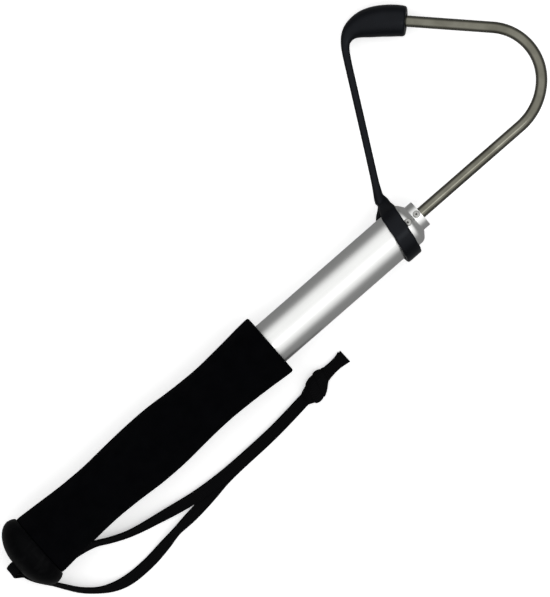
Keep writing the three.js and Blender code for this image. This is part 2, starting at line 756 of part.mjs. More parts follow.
function webbing(route, step) {
  const halfWidth = WEBBING_WIDTH / 2;
  const halfThickness = WEBBING_THICKNESS / 2;
  const inset = WEBBING_CHAMFER;
  const section = new THREE.Shape([
    [-halfWidth, inset - halfThickness],
    [inset - halfWidth, -halfThickness],
    [halfWidth - inset, -halfThickness],
    [halfWidth, inset - halfThickness],
    [halfWidth, halfThickness - inset],
    [halfWidth - inset, halfThickness],
    [inset - halfWidth, halfThickness],
    [-halfWidth, halfThickness - inset],
  ].map(([x, y]) => new THREE.Vector2(x, y)));
  const curve = new WebbingCurve(route);
  const steps = Math.round(curve.getLength() / step);
  return new THREE.ExtrudeGeometry(section, { steps, extrudePath: curve });
}

function lanyardTail(layer) {
  const outline = new THREE.Shape(TAIL_OUTLINES[layer].map(([x, y]) => new THREE.Vector2(x, y)));
  const options = { depth: WEBBING_THICKNESS, bevelEnabled: false };
  return new THREE.ExtrudeGeometry(outline, options).translate(0, 0, TAIL_HEIGHTS[layer]);
}

// ---- Materials ----

function finish(color, roughness, metalness = 0) {
  return new THREE.MeshStandardMaterial({ color, roughness, metalness });
}

const satinAluminium = () => finish(0xc9cac8, 0.38, 1);
const plainSteel = () => finish(0x8f8c82, 0.32, 1);
const brass = () => finish(0xb59a55, 0.35, 1);
const blackFoam = () => finish(0x101113, 0.95);
const blackRubber = () => finish(0x17181b, 0.6);
const blackWebbing = () => finish(0x0c0c0e, 0.9);
const greyNylon = () => finish(0x3a3c3f, 0.55);

// ---- Assembly ----

const gaff = new THREE.Group();
const floorFrame = new THREE.Group();
const handle = new THREE.Group();
const hookSection = new THREE.Group();
gaff.add(floorFrame);
floorFrame.add(handle, hookSection);
handle.position.z = AXIS_HEIGHT;
hookSection.position.z = AXIS_HEIGHT;
hookSection.rotation.x = HOOK_ROLL;

function place(group, name, geometry, material) {
  const mesh = new THREE.Mesh(geometry, material);
  mesh.name = name;
  group.add(mesh);
}

place(handle, 'outer_tube', outerTube(), satinAluminium());
place(handle, 'mouth_bush', mouthBush(), greyNylon());
place(handle, 'bush_rivet_top', bushRivet(1), satinAluminium());
place(handle, 'bush_rivet_bottom', bushRivet(-1), satinAluminium());
place(handle, 'foam_grip', foamGrip(), blackFoam());
place(handle, 'butt_cap', buttCap(), blackRubber());
place(handle, 'lanyard_pin', lanyardPin(), plainSteel());

place(handle, 'lock_expander', lockExpander(), greyNylon());
place(handle, 'lock_cone', lockCone(), brass());

place(hookSection, 'inner_tube', innerTube(), satinAluminium());
place(hookSection, 'stop_collar', stopCollar(), greyNylon());
place(hookSection, 'stud_plug', studPlug(), greyNylon());
place(hookSection, 'stud_pin', studPin(), plainSteel());
place(hookSection, 'lock_stud', lockStud(), plainSteel());
place(hookSection, 'stud_end_nut', studEndNut(), plainSteel());
place(hookSection, 'hook_plug', hookPlug(), satinAluminium());
place(hookSection, 'hook_rivet', hookRivet(), satinAluminium());
place(hookSection, 'hook', hook(), plainSteel());
place(hookSection, 'cover_ring', coverRing(), blackRubber());
place(hookSection, 'cover_strap', coverStrap(), blackRubber());
place(hookSection, 'cover_boot', coverBoot(), blackRubber());

// The origin is on the ground, under the middle of the gaff without its lanyard.
const extent = new THREE.Box3().setFromObject(floorFrame, true);
const centre = extent.getCenter(new THREE.Vector3());
floorFrame.position.set(-centre.x, -centre.y, 0);

place(floorFrame, 'lanyard_bight', webbing(BIGHT_ROUTE, BIGHT_STEP), blackWebbing());
place(floorFrame, 'lanyard_strand_a', webbing(STRAND_A_ROUTE, STRAND_STEP), blackWebbing());
place(floorFrame, 'lanyard_strand_b', webbing(STRAND_B_ROUTE, STRAND_STEP), blackWebbing());
place(floorFrame, 'lanyard_knot', lofted(KNOT_STATIONS, SMALL_SIDES), blackWebbing());
place(floorFrame, 'lanyard_tail_lower', lanyardTail(0), blackWebbing());
place(floorFrame, 'lanyard_tail_upper', lanyardTail(1), blackWebbing());

export default gaff;
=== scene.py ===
import math

import bmesh
import bpy
import numpy as np
from mathutils import Matrix, Vector, noise


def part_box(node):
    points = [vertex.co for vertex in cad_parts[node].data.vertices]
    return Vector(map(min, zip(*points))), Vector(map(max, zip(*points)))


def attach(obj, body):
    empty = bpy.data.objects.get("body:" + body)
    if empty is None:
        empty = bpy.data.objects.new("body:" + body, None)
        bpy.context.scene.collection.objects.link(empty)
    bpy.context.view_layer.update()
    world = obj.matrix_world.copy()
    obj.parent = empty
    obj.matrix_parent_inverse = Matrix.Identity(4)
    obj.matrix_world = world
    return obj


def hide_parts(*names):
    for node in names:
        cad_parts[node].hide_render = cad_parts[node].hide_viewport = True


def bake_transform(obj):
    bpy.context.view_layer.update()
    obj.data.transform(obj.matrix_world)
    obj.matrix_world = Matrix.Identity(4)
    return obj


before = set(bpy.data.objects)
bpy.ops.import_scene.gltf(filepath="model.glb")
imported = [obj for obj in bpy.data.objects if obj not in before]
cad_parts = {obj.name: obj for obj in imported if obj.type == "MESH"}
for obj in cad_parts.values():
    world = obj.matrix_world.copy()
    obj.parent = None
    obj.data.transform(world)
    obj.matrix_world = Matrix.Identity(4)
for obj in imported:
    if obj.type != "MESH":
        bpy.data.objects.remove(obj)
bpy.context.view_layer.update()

# Telescopic fishing gaff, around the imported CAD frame. Along the pole, x is counted from the apex of the
# butt cap. The lanyard, the camera and the studio are in metres. The pole, rivets, hook and cover are in
# millimetres: AT_POLE and AT_HOOK bring their points into the frame.

MM = 0.001

# ---- Driving dimensions ----

CAP_FLAT_X = 0.566
HOOK_ROLL = math.radians(-7.88)
TURN_SIDES = 96
SHARP_ANGLE = math.radians(38)

# Camera: straight down, rolled so that the pole climbs to the right.
CAMERA_ROLL = math.radians(41.11)
CAMERA_HEIGHT = 8
CAMERA_REACH = 60
CAMERA_AIM = (0.0021, -0.0267)
VIEW_HEIGHT = 0.3497
SENSOR = 36

# Lanyard webbing.
WEBBING_WIDTH = 0.007
WEBBING_THICKNESS = 0.0013
RIBBON_STEP = 0.0012

# Hook wire: straights and arcs as (length, bend radius), the last run ending in the point.
WIRE_RADIUS = 3.4
WIRE_SIDES = 40
WIRE_STEP = 1.5
WIRE_REAR_X = 298
BEND_START_X = 392.3
FIRST_BEND = (36.7, math.radians(46.8))
SECOND_BEND = (31.2, math.radians(87.6))
LEG_LENGTH = 51.9
POINT_IN_BOOT = 24
POINT_TAPER = 22
POINT_BLUNT = 0.06

# Rubber cover.
COVER_SIDES = 40
COVER_VOXEL = 0.0004
COVER_SMOOTHING = 18
COVER_SMOOTHING_SHARE = 0.5
RING_X = 295.3
RING_INNER_RADIUS = 14.6
RING_WALL = 2.7
RING_HALF_WIDTH = 5.3
RING_EDGE = 0.9
RING_INNER_EDGE = 0.5
RING_TEAR_ANGLE = math.radians(42)
RING_TIP_SHARE = 0.58
RING_LEAN = (7.6, 6.2, 4.9, 4, 2.8, 1.6, 0.7, 0.3, -0.6, -1.5, -1, 1.4)
RING_STEPS = 96
# Routes of the lanyard in metres: x along the pole, y, height above the ground, then the compass angle and
# the tip angle of the webbing's width in degrees.
BIGHT_ROUTE = (
    (0.0045, 0, 0.0221, 90, 0),
    (0.0085, 0, 0.0217, 90, 0),
    (0.0114, 0, 0.0208, 90, 0),
    (0.0136, 0, 0.0207, 90, 0),
    (0.0153, 0, 0.0218, 90, 0),
    (0.0158, 0, 0.0232, 90, 0),
    (0.0153, 0, 0.0246, 90, 0),
    (0.0136, 0, 0.0257, 90, 0),
    (0.0114, 0, 0.0256, 90, 0),
    (0.0085, 0, 0.0247, 90, 0),
    (0.0045, 0, 0.0243, 90, 0),
)
STRAND_A_ROUTE = (
    (0.0045, 0, 0.0243, 90, 0),
    (-0.0001, 0, 0.0243, 90, 0),
    (-0.0009, 0, 0.0243, 90, 0),
    (-0.003, -0.0003, 0.0236, 90, 0),
    (-0.0042, -0.0009, 0.0212, 88, 0),
    (-0.0043, -0.0015, 0.0176, 86, 0),
    (-0.0034, -0.0023, 0.0132, 84, 0),
    (-0.0018, -0.0034, 0.0088, 80, 0),
    (0.0004, -0.005, 0.0046, 74, 0),
    (0.003, -0.0074, 0.0018, 66, 0),
    (0.0066, -0.0104, 0.0008, 60, 0),
    (0.0114, -0.0129, 0.00075, 62, 0),
    (0.0165, -0.0146, 0.00075, 72, 0),
    (0.024, -0.0158, 0.00145, 80, 12),
    (0.033, -0.0174, 0.00285, 76, 40),
    (0.0433, -0.0206, 0.00345, 66, 60),
    (0.052, -0.025, 0.00345, 62, 60),
    (0.061, -0.0288, 0.00335, 66, 56),
    (0.07, -0.0314, 0.00315, 74, 48),
    (0.0797, -0.0335, 0.0027, 78, 36),
    (0.09, -0.0357, 0.0024, 79, 20),
    (0.1019, -0.038, 0.0025, 81, 0),
    (0.113, -0.0394, 0.00245, 84, 0),
    (0.1242, -0.0402, 0.00245, 87, 0),
    (0.135, -0.0405, 0.00245, 89, 0),
    (0.1464, -0.0404, 0.00245, 91, 0),
    (0.1575, -0.0402, 0.00245, 92, 0),
    (0.1687, -0.0397, 0.00245, 94, 0),
    (0.18, -0.0387, 0.00245, 96, 0),
    (0.1912, -0.0376, 0.00245, 96, 0),
    (0.196, -0.0373, 0.0029, 96, 0),
)
STRAND_B_ROUTE = (
    (0.0045, 0, 0.0221, 90, 0),
    (-0.0001, 0, 0.0221, 90, 0),
    (-0.0007, 0, 0.0221, 90, 0),
    (-0.0018, -0.0003, 0.0214, 90, 0),
    (-0.0023, -0.0007, 0.0194, 88, 0),
    (-0.0018, -0.0012, 0.0162, 86, 0),
    (-0.0006, -0.0021, 0.0126, 84, 0),
    (0.0007, -0.0037, 0.0092, 78, 0),
    (0.0019, -0.0066, 0.0064, 66, 0),
    (0.0038, -0.0108, 0.0046, 50, 12),
    (0.0062, -0.0158, 0.0036, 38, 40),
    (0.0094, -0.0216, 0.0037, 34, 68),
    (0.0138, -0.0282, 0.0036, 36, 68),
    (0.0196, -0.0358, 0.0035, 44, 64),
    (0.0282, -0.0432, 0.0034, 56, 58),
    (0.037, -0.0476, 0.00265, 70, 34),
    (0.0463, -0.0497, 0.0015, 82, 12),
    (0.0609, -0.0498, 0.00125, 94, 8),
    (0.0725, -0.0484, 0.00205, 98, 22),
    (0.0844, -0.0466, 0.0031, 99, 46),
    (0.092, -0.046, 0.00245, 97, 30),
    (0.099, -0.0455, 0.0014, 96, 10),
    (0.107, -0.0447, 0.00075, 95, 0),
    (0.1155, -0.0436, 0.00075, 94, 0),
    (0.1242, -0.0422, 0.00075, 93, 0),
    (0.135, -0.0414, 0.00075, 92, 0),
    (0.1464, -0.0411, 0.00075, 91, 0),
    (0.1575, -0.0408, 0.00075, 92, 0),
    (0.1687, -0.0402, 0.00075, 94, 0),
    (0.18, -0.0392, 0.00075, 96, 0),
    (0.1912, -0.038, 0.00075, 96, 0),
    (0.196, -0.0376, 0.0015, 96, 0),
)

# ---- Places ----


def pole_origin():
    """The apex of the butt cap, on the pole's axis."""
    low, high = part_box("outer_tube")
    middle = (low + high) / 2
    return Vector((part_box("butt_cap")[0].x - CAP_FLAT_X * MM, middle.y, middle.z))


POLE = pole_origin()
AT_POLE = Matrix.Translation(POLE) @ Matrix.Scale(MM, 4)
AT_HOOK = AT_POLE @ Matrix.Rotation(HOOK_ROLL, 4, "X")
ON_GROUND = Matrix.Translation((POLE.x, POLE.y, 0))


# ---- Camera ----


def make_camera():
    data = bpy.data.cameras.new("camera")
    data.sensor_width = SENSOR
    data.lens = SENSOR * CAMERA_HEIGHT / VIEW_HEIGHT
    data.clip_end = CAMERA_REACH
    camera = bpy.data.objects.new("camera", data)
    bpy.context.scene.collection.objects.link(camera)
    camera.location = (*CAMERA_AIM, POLE.z + CAMERA_HEIGHT)
    camera.rotation_euler = (0, 0, -CAMERA_ROLL)
    bpy.context.scene.camera = camera


make_camera()


# ---- Mesh building ----


def new_piece(name, vertices, faces):
    """A mesh object with its faces turned outwards and smooth shading between sharp edges."""
    mesh = bpy.data.meshes.new(name)
    mesh.from_pydata([tuple(v) for v in vertices], [], faces)
    mesh.validate()
    work = bmesh.new()
    work.from_mesh(mesh)
    bmesh.ops.recalc_face_normals(work, faces=work.faces)
    work.to_mesh(mesh)
    work.free()
    soften(mesh)
    piece = bpy.data.objects.new(name, mesh)
    bpy.context.scene.collection.objects.link(piece)
    return piece


def soften(mesh, angle=SHARP_ANGLE):
    mesh.shade_smooth()
    mesh.set_sharp_from_angle(angle=angle)


def skinned(name, rings, looped=False):
    """A closed skin over rings of points. A looped one joins its last ring to its first."""
    sides = len(rings[0])
    faces = []
    for i in range(len(rings) if looped else len(rings) - 1):
        here, there = i * sides, (i + 1) % len(rings) * sides
        for j in range(sides):
            k = (j + 1) % sides
            faces.append((here + j, here + k, there + k, there + j))
    if not looped:
        faces.append(tuple(range(sides)))
        faces.append(tuple(range((len(rings) - 1) * sides, len(rings) * sides)))
    return new_piece(name, [point for ring in rings for point in ring], faces)


def turned(name, profile, place=AT_POLE, sides=TURN_SIDES):
    """A piece of revolution about the X axis of its place, from profile points of x and radius.
    A profile that starts on the axis ends on it; any other is a closed outline."""
    solid = profile[0][1] == 0
    vertices, rings = [], []
    for x, radius in profile:
        count = 1 if radius == 0 else sides
        rings.append(range(len(vertices), len(vertices) + count))
        for i in range(count):
            angle = 2 * math.pi * i / sides
            vertices.append(place @ Vector((x, radius * math.cos(angle), radius * math.sin(angle))))
    faces = []
    for near, far in zip(rings, rings[1:] if solid else rings[1:] + rings[:1]):
        for i in range(sides):
            corners = (
                near[i % len(near)],
                near[(i + 1) % sides % len(near)],
                far[(i + 1) % sides % len(far)],
                far[i % len(far)],
            )
            faces.append(tuple(dict.fromkeys(corners)))
    return new_piece(name, vertices, faces)


def filleted(corners, steps=5):
    """Profile points with each corner, given as x, radius and fillet, rounded off."""
    points = []
    for i, (x, radius, fillet) in enumerate(corners):
        here = Vector((x, radius))
        if fillet == 0:
            points.append((x, radius))
            continue
        before = Vector(corners[i - 1][:2]) - here
        after = Vector(corners[(i + 1) % len(corners)][:2]) - here
        start = here + before.normalized() * fillet
        end = here + after.normalized() * fillet
        for step in range(steps + 1):
            share = step / steps
            point = start.lerp(here, share).lerp(here.lerp(end, share), share)
            points.append(tuple(point))
    return points


def curve_rows(rows, step):
    """Rows every step or so along a centripetal Catmull-Rom curve through the given rows, whose first three
    numbers are a point. Their other numbers turn with the curve."""
    rows = [np.array(row, float) for row in rows]
    ends = [2 * rows[0] - rows[1], *rows, 2 * rows[-1] - rows[-2]]
    found = []
    for four in zip(ends, ends[1:], ends[2:], ends[3:]):
        gaps = [np.linalg.norm(b[:3] - a[:3]) for a, b in zip(four, four[1:])]
        knots = np.concatenate([[0], np.cumsum(np.sqrt(gaps))])
        count = max(1, math.ceil(gaps[1] / step))
        for i in range(count):
            found.append(catmull_rom(four, knots, knots[1] + (knots[2] - knots[1]) * i / count))
    found.append(rows[-1])
    return found


def catmull_rom(four, knots, t):
    level = list(four)
    spans = ((0, 1), (1, 2), (2, 3)), ((0, 2), (1, 3)), ((1, 2),)
    for pairs in spans:
        level = [
            ((knots[b] - t) * near + (t - knots[a]) * far) / (knots[b] - knots[a])
            for (a, b), near, far in zip(pairs, level, level[1:])
        ]
    return level[0]


def mark_runs(piece, runs, acrosses):
    """Keeps, on each point, how far along its strip it lies and how far across, for the material."""
    marks = piece.data.attributes.new("strip", "FLOAT_VECTOR", "POINT")
    values = [(run, across, 0) for run in runs for across in acrosses]
    marks.data.foreach_set("vector", np.array(values, np.float32).ravel())


def apply_modifiers(piece):
    bpy.context.view_layer.update()
    shape = piece.evaluated_get(bpy.context.evaluated_depsgraph_get())
    mesh = bpy.data.meshes.new_from_object(shape)
    piece.modifiers.clear()
    old = piece.data
    piece.data = mesh
    bpy.data.meshes.remove(old)


# ---- Lanyard ----

# A quarter of the webbing's section, as shares of half its width and half its thickness.
FLAT_EDGE = ((-1, 0), (-0.985, 0.5), (-0.93, 0.88), (-0.82, 1), (-0.66, 0.98), (-0.4, 0.88), (0, 0.85))


def whole_section(edge):
    """The closed outline whose quarter is given, in order round it."""
    top = [*edge, *[(-across, up) for across, up in edge[-2::-1]]]
    return [*top, *[(across, -up) for across, up in top[-2:0:-1]]]


def ribbon(name, stations, thickness, edge):
    """Webbing along stations of centre, width direction and width."""
    section = whole_section(edge)
    rings, runs, run = [], [], 0
    for i, (centre, width_way, width) in enumerate(stations):
        before, after = stations[max(i - 1, 0)][0], stations[min(i + 1, len(stations) - 1)][0]
        ahead = (after - before).normalized()
        side = (width_way - ahead * width_way.dot(ahead)).normalized()
        up = ahead.cross(side)
        rings.append([
            centre + side * (across * width / 2) + up * (rise * thickness / 2)
            for across, rise in section
        ])
        run += (centre - stations[max(i - 1, 0)][0]).length
        runs.append(run)
    piece = skinned(name, rings)
    mark_runs(piece, runs, [across * WEBBING_WIDTH / 2 for across, _ in section])
    return piece


def stations_along(route, widths=None):
    """Ribbon stations from a route of x, y, height, compass angle and tip angle in degrees, and widths."""
    rows = [(*row, width) for row, width in zip(route, widths or [WEBBING_WIDTH] * len(route))]
    stations = []
    for x, y, z, compass, tip, width in curve_rows(rows, RIBBON_STEP):
        level = math.cos(math.radians(tip))
        way = Vector((
            level * math.cos(math.radians(compass)),
            level * math.sin(math.radians(compass)),
            math.sin(math.radians(tip)),
        ))
        stations.append((ON_GROUND @ Vector((x, y, z)), way, width))
    return stations


def strand(name, route, node):
    """One leg of the lanyard, from inside the cap's slot to inside the knot."""
    stations = stations_along(route)
    piece = ribbon(name, stations, WEBBING_THICKNESS, FLAT_EDGE)
    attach(piece, "handle")
    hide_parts(node)
    return piece


# The knot, pulled tight: its outline as x, y, height, width on the ground and depth upwards. The doubled
# webbing winds round it in turns that overlap like shingles.
KNOT_OUTLINE = (
    (0.1919, -0.0379, 0.00165, 0.007, 0.003),
    (0.194, -0.0379, 0.0028, 0.0094, 0.0054),
    (0.196, -0.0381, 0.0037, 0.0118, 0.0072),
    (0.1985, -0.0378, 0.0044, 0.0136, 0.0086),
    (0.2015, -0.0372, 0.0047, 0.0144, 0.0092),
    (0.2045, -0.0361, 0.0046, 0.0135, 0.009),
    (0.207, -0.0351, 0.0041, 0.012, 0.008),
    (0.2095, -0.0344, 0.0032, 0.0099, 0.0062),
    (0.2116, -0.0343, 0.0023, 0.008, 0.0044),
    (0.213, -0.0344, 0.00165, 0.007, 0.003),
)
KNOT_STEP = 0.0003
KNOT_SIDES = 96
KNOT_PITCH = 0.0072
KNOT_LEAN = 0.5
KNOT_EDGE_SHARE = 0.1
KNOT_RELIEF = 0.0005
KNOT_CROWN = 0.00035


def wound_place(x, y, centre_y, angle):
    """Which turn of the wound webbing a point of the knot is on, and how far across it from 0 to 1."""
    turns = (x - KNOT_LEAN * (y - centre_y)) / KNOT_PITCH - angle / (2 * math.pi)
    return math.floor(turns), turns - math.floor(turns)


def make_knot():
    rings, marks = [], []
    for x, y, z, width, depth in curve_rows(KNOT_OUTLINE, KNOT_STEP):
        ring = []
        for i in range(KNOT_SIDES):
            angle = 2 * math.pi * i / KNOT_SIDES
            side, rise = width / 2 * math.cos(angle), depth / 2 * math.sin(angle)
            turn, across = wound_place(x, y + side, y, angle)
            lifted = min(1, across / KNOT_EDGE_SHARE) * (1 - across)
            relief = KNOT_RELIEF * (lifted - 1) + KNOT_CROWN * math.sin(math.pi * across)
            reach = 1 + relief / (width / 2)
            ring.append(ON_GROUND @ Vector((x, y + side * reach, z + rise * reach)))
            marks.append((angle * width / 2 + turn * WEBBING_WIDTH, (across - 0.5) * WEBBING_WIDTH, 0))
        rings.append(ring)
    knot = skinned("lanyard_knot_wound", rings)
    strip = knot.data.attributes.new("strip", "FLOAT_VECTOR", "POINT")
    strip.data.foreach_set("vector", np.array(marks, np.float32).ravel())
    return knot


TAIL_ROUTES = (
    (
        (0.2045, -0.0362, 0.0036, 92, 0),
        (0.2085, -0.0354, 0.0026, 92, 0),
        (0.2134, -0.03455, 0.00085, 92, 0),
        (0.2166, -0.0344, 0.00075, 92, 0),
        (0.2198, -0.0343, 0.00075, 92, 0),
        (0.2232, -0.0343, 0.00075, 88, 0),
        (0.2267, -0.0342, 0.00078, 80, 0),
    ),
    (
        (0.2045, -0.036, 0.0056, 92, 0),
        (0.2085, -0.0352, 0.0044, 92, 0),
        (0.2134, -0.0343, 0.00255, 92, 0),
        (0.2166, -0.0342, 0.00215, 92, 0),
        (0.2198, -0.03405, 0.0021, 92, 0),
        (0.2228, -0.034, 0.0021, 94, 0),
        (0.2255, -0.0338, 0.00215, 100, 0),
    ),
)
TAIL_WIDTHS = (0.007, 0.007, 0.0071, 0.0068, 0.0068, 0.0076, 0.0088)


def make_lanyard():
    tails = []
    for name, route, node in zip(
        ("lanyard_tail_low", "lanyard_tail_high"), TAIL_ROUTES, ("lanyard_tail_lower", "lanyard_tail_upper")
    ):
        tail = ribbon(name, stations_along(route, TAIL_WIDTHS), WEBBING_THICKNESS, FLAT_EDGE)
        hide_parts(node)
        tails.append(tail)
    knot = make_knot()
    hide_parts("lanyard_knot")
    bight = ribbon("lanyard_bight_loop", stations_along(BIGHT_ROUTE), WEBBING_THICKNESS, FLAT_EDGE)
    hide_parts("lanyard_bight")
    for piece in (*tails, knot, bight):
        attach(piece, "handle")
    strand_a = strand("lanyard_leg_a", STRAND_A_ROUTE, "lanyard_strand_a")
    strand_b = strand("lanyard_leg_b", STRAND_B_ROUTE, "lanyard_strand_b")
    return [*tails, knot, bight, strand_a, strand_b]


webbing_pieces = make_lanyard()


# ---- Materials ----


class Finish:
    """A material under construction: adds nodes in a line and links them to the shader."""

    def __init__(self, name, colour, roughness, metallic=0, **uniform):
        self.material = bpy.data.materials.new(name)
        self.material.use_nodes = True
        self.tree = self.material.node_tree
        self.shader = self.tree.nodes["Principled BSDF"]
        self.set(self.shader, {"Base Color": (*colour, 1), "Roughness": roughness, "Metallic": metallic})
        self.set(self.shader, {key.replace("_", " "): value for key, value in uniform.items()})
        self.place = self.node("ShaderNodeTexCoord").outputs["Object"]
        self.bump_normal = None

    def set(self, node, values):
        for key, value in values.items():
            if isinstance(value, bpy.types.NodeSocket):
                self.tree.links.new(value, node.inputs[key])
            else:
                node.inputs[key].default_value = value

    def node(self, kind, inputs=None, **settings):
        node = self.tree.nodes.new(kind)
        for key, value in settings.items():
            setattr(node, key, value)
        self.set(node, inputs or {})
        return node

    def scaled(self, factors, source=None):
        """The place on the piece with each axis stretched by a factor."""
        inputs = {0: source or self.place, 1: factors}
        return self.node("ShaderNodeVectorMath", inputs, operation="MULTIPLY").outputs[0]

    def strip(self, factors):
        """The place along and across a strip, with each stretched by a factor."""
        marks = self.node("ShaderNodeAttribute", attribute_name="strip").outputs["Vector"]
        return self.scaled(factors, marks)

    def noise(self, scale, detail=3, place=None, roughness=0.5):
        inputs = {"Vector": place or self.place, "Scale": scale, "Detail": detail, "Roughness": roughness}
        return self.node("ShaderNodeTexNoise", inputs).outputs[0]

    def cells(self, scale, place=None):
        inputs = {"Vector": place or self.place, "Scale": scale}
        return self.node("ShaderNodeTexVoronoi", inputs).outputs["Distance"]

    def ramp(self, value, low, high, to_low=0.0, to_high=1.0):
        inputs = {"Value": value, "From Min": low, "From Max": high, "To Min": to_low, "To Max": to_high}
        return self.node("ShaderNodeMapRange", inputs).outputs[0]

    def maths(self, operation, first, second=0.5):
        return self.node("ShaderNodeMath", {0: first, 1: second}, operation=operation).outputs[0]

    def colour(self, share, first, second):
        """The shader's colour: the first where share is 0 and the second where it is 1."""
        inputs = {0: share, 6: (*first, 1), 7: (*second, 1)}
        mix = self.node("ShaderNodeMix", inputs, data_type="RGBA")
        self.set(self.shader, {"Base Color": mix.outputs[2]})

    def roughness(self, share, low, high):
        self.set(self.shader, {"Roughness": self.ramp(share, 0, 1, low, high)})

    def bump(self, height, depth_mm, strength=1):
        """Adds relief of that depth to what is there already."""
        inputs = {"Height": height, "Distance": depth_mm * MM, "Strength": strength}
        if self.bump_normal:
            inputs["Normal"] = self.bump_normal
        self.bump_normal = self.node("ShaderNodeBump", inputs).outputs[0]
        self.set(self.shader, {"Normal": self.bump_normal})


def satin_aluminium():
    made = Finish("satin_aluminium", (0.8, 0.8, 0.79), 0.34, 1)
    streaks = made.noise(1, 4, made.scaled((30, 1900, 1900)))
    clouds = made.noise(45, 3)
    made.colour(made.maths("MULTIPLY", streaks, clouds), (0.9, 0.905, 0.89), (0.76, 0.765, 0.755))
    made.roughness(streaks, 0.24, 0.38)
    made.bump(streaks, 0.004, 0.5)
    made.bump(made.noise(5200, 2), 0.004, 0.35)
    return made.material


def rivet_aluminium():
    made = Finish("rivet_aluminium", (0.6, 0.6, 0.58), 0.42, 1)
    mottle = made.noise(1600, 4)
    made.colour(made.ramp(mottle, 0.35, 0.7), (0.5, 0.5, 0.48), (0.32, 0.32, 0.305))
    made.roughness(mottle, 0.32, 0.55)
    made.bump(mottle, 0.012, 0.5)
    return made.material


def rivet_painted_shade():
    # Painted shade: this dark finish stands in for the shadow round the rivet heads' rims and in their
    # dimples, mottled by noise.
    made = Finish("rivet_painted_shade", (0.07, 0.07, 0.065), 0.7, 0.6)
    shade_mottle = made.noise(2400, 3)
    made.colour(shade_mottle, (0.1, 0.1, 0.095), (0.03, 0.03, 0.028))
    made.bump(shade_mottle, 0.02, 0.6)
    return made.material


def stainless_wire():
    made = Finish("stainless_wire", (0.21, 0.207, 0.17), 0.2, 1)
    drawn = made.noise(1, 4, made.strip((60, 2600, 1)))
    patches = made.noise(90, 4)
    made.colour(made.ramp(patches, 0.3, 0.7), (0.22, 0.216, 0.177), (0.14, 0.137, 0.11))
    made.roughness(drawn, 0.1, 0.2)
    made.bump(drawn, 0.006, 0.5)
    made.bump(made.noise(3800, 2), 0.004, 0.3)
    return made.material


def plain_steel():
    made = Finish("plain_steel", (0.5, 0.5, 0.48), 0.3, 1)
    lines = made.noise(1, 4, made.scaled((2600, 90, 90)))
    made.colour(lines, (0.56, 0.56, 0.54), (0.42, 0.42, 0.4))
    made.roughness(lines, 0.25, 0.42)
    made.bump(lines, 0.006, 0.5)
    return made.material


def lock_brass():
    made = Finish("lock_brass", (0.7, 0.55, 0.27), 0.32, 1)
    tarnish = made.noise(260, 4)
    made.colour(made.ramp(tarnish, 0.35, 0.75), (0.75, 0.6, 0.3), (0.5, 0.36, 0.17))
    made.roughness(tarnish, 0.25, 0.45)
    made.bump(made.noise(1, 3, made.scaled((3200, 120, 120))), 0.008, 0.5)
    return made.material


def grey_nylon():
    made = Finish("grey_nylon", (0.05, 0.052, 0.055), 0.5)
    grain = made.noise(1900, 3)
    made.colour(made.noise(140, 3), (0.06, 0.062, 0.066), (0.035, 0.037, 0.04))
    made.roughness(grain, 0.42, 0.62)
    made.bump(grain, 0.02, 0.5)
    return made.material


def black_foam():
    made = Finish("black_foam", (0.0014, 0.0015, 0.0019), 0.92, Specular_IOR_Level=0.015)
    cells = made.cells(1500)
    dents = made.noise(120, 4)
    made.colour(made.ramp(dents, 0.3, 0.7), (0.001, 0.0011, 0.0015), (0.0017, 0.0018, 0.0023))
    made.roughness(cells, 0.82, 0.98)
    made.bump(dents, 0.25, 0.5)
    made.bump(cells, 0.14, 0.8)
    return made.material


def cap_rubber():
    made = Finish("cap_rubber", (0.0014, 0.0014, 0.0017), 0.3, Specular_IOR_Level=0.025)
    grain = made.noise(2200, 3)
    scuffs = made.noise(1, 5, made.scaled((70, 240, 240)), 0.62)
    made.colour(made.ramp(scuffs, 0.52, 0.75), (0.0014, 0.0015, 0.0018), (0.004, 0.004, 0.0044))
    made.roughness(scuffs, 0.28, 0.5)
    made.bump(grain, 0.03, 0.5)
    return made.material


def cover_rubber():
    made = Finish("cover_rubber", (0.002, 0.0023, 0.003), 0.3, Specular_IOR_Level=0.17,
                  Specular_Tint=(0.85, 0.9, 1, 1))
    grain = made.noise(2000, 3)
    clouds = made.noise(110, 4)
    made.colour(made.ramp(clouds, 0.35, 0.7), (0.001, 0.0012, 0.002), (0.0024, 0.0029, 0.0044))
    made.roughness(clouds, 0.18, 0.42)
    made.bump(clouds, 0.05, 0.4)
    made.bump(grain, 0.03, 0.5)
    return made.material


def black_webbing():
    """A braid whose yarns cross in a herringbone about 1 mm long."""
    made = Finish("black_webbing", (0.002, 0.002, 0.0024), 0.85, Specular_IOR_Level=0.06)
    marks = made.node("ShaderNodeSeparateXYZ", {0: made.strip((1, 1, 1))})
    run, across = marks.outputs[0], marks.outputs[1]
    slant = made.maths("ABSOLUTE", across)
    waves = made.maths("MULTIPLY", made.maths("ADD", run, slant), 2 * math.pi / 0.0011)
    yarns = made.ramp(made.maths("SINE", waves), -1, 1)
    ribs = made.ramp(made.maths("COSINE", made.maths("MULTIPLY", across, 2 * math.pi / 0.0009)), -1, 1)
    weave = made.maths("MULTIPLY", yarns, ribs)
    fuzz = made.noise(2600, 3)
    made.colour(weave, (0.0012, 0.0012, 0.0015), (0.0048, 0.0048, 0.0056))
    made.roughness(weave, 0.9, 0.7)
    made.bump(weave, 0.16, 0.8)
    made.bump(fuzz, 0.05, 0.5)
    return made.material


FINISHES = {
    make.__name__: make()
    for make in (
        satin_aluminium, rivet_aluminium, rivet_painted_shade, stainless_wire, plain_steel, lock_brass,
        grey_nylon, black_foam, cap_rubber, cover_rubber, black_webbing,
    )
}


def complete(piece, finish, body, *nodes):
    """Gives a piece its finish, its body and the CAD nodes that it stands for."""
    piece.data.materials.append(FINISHES[finish])
    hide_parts(*nodes)
    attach(piece, body)
    return piece


for piece in webbing_pieces:
    piece.data.materials.append(FINISHES["black_webbing"])


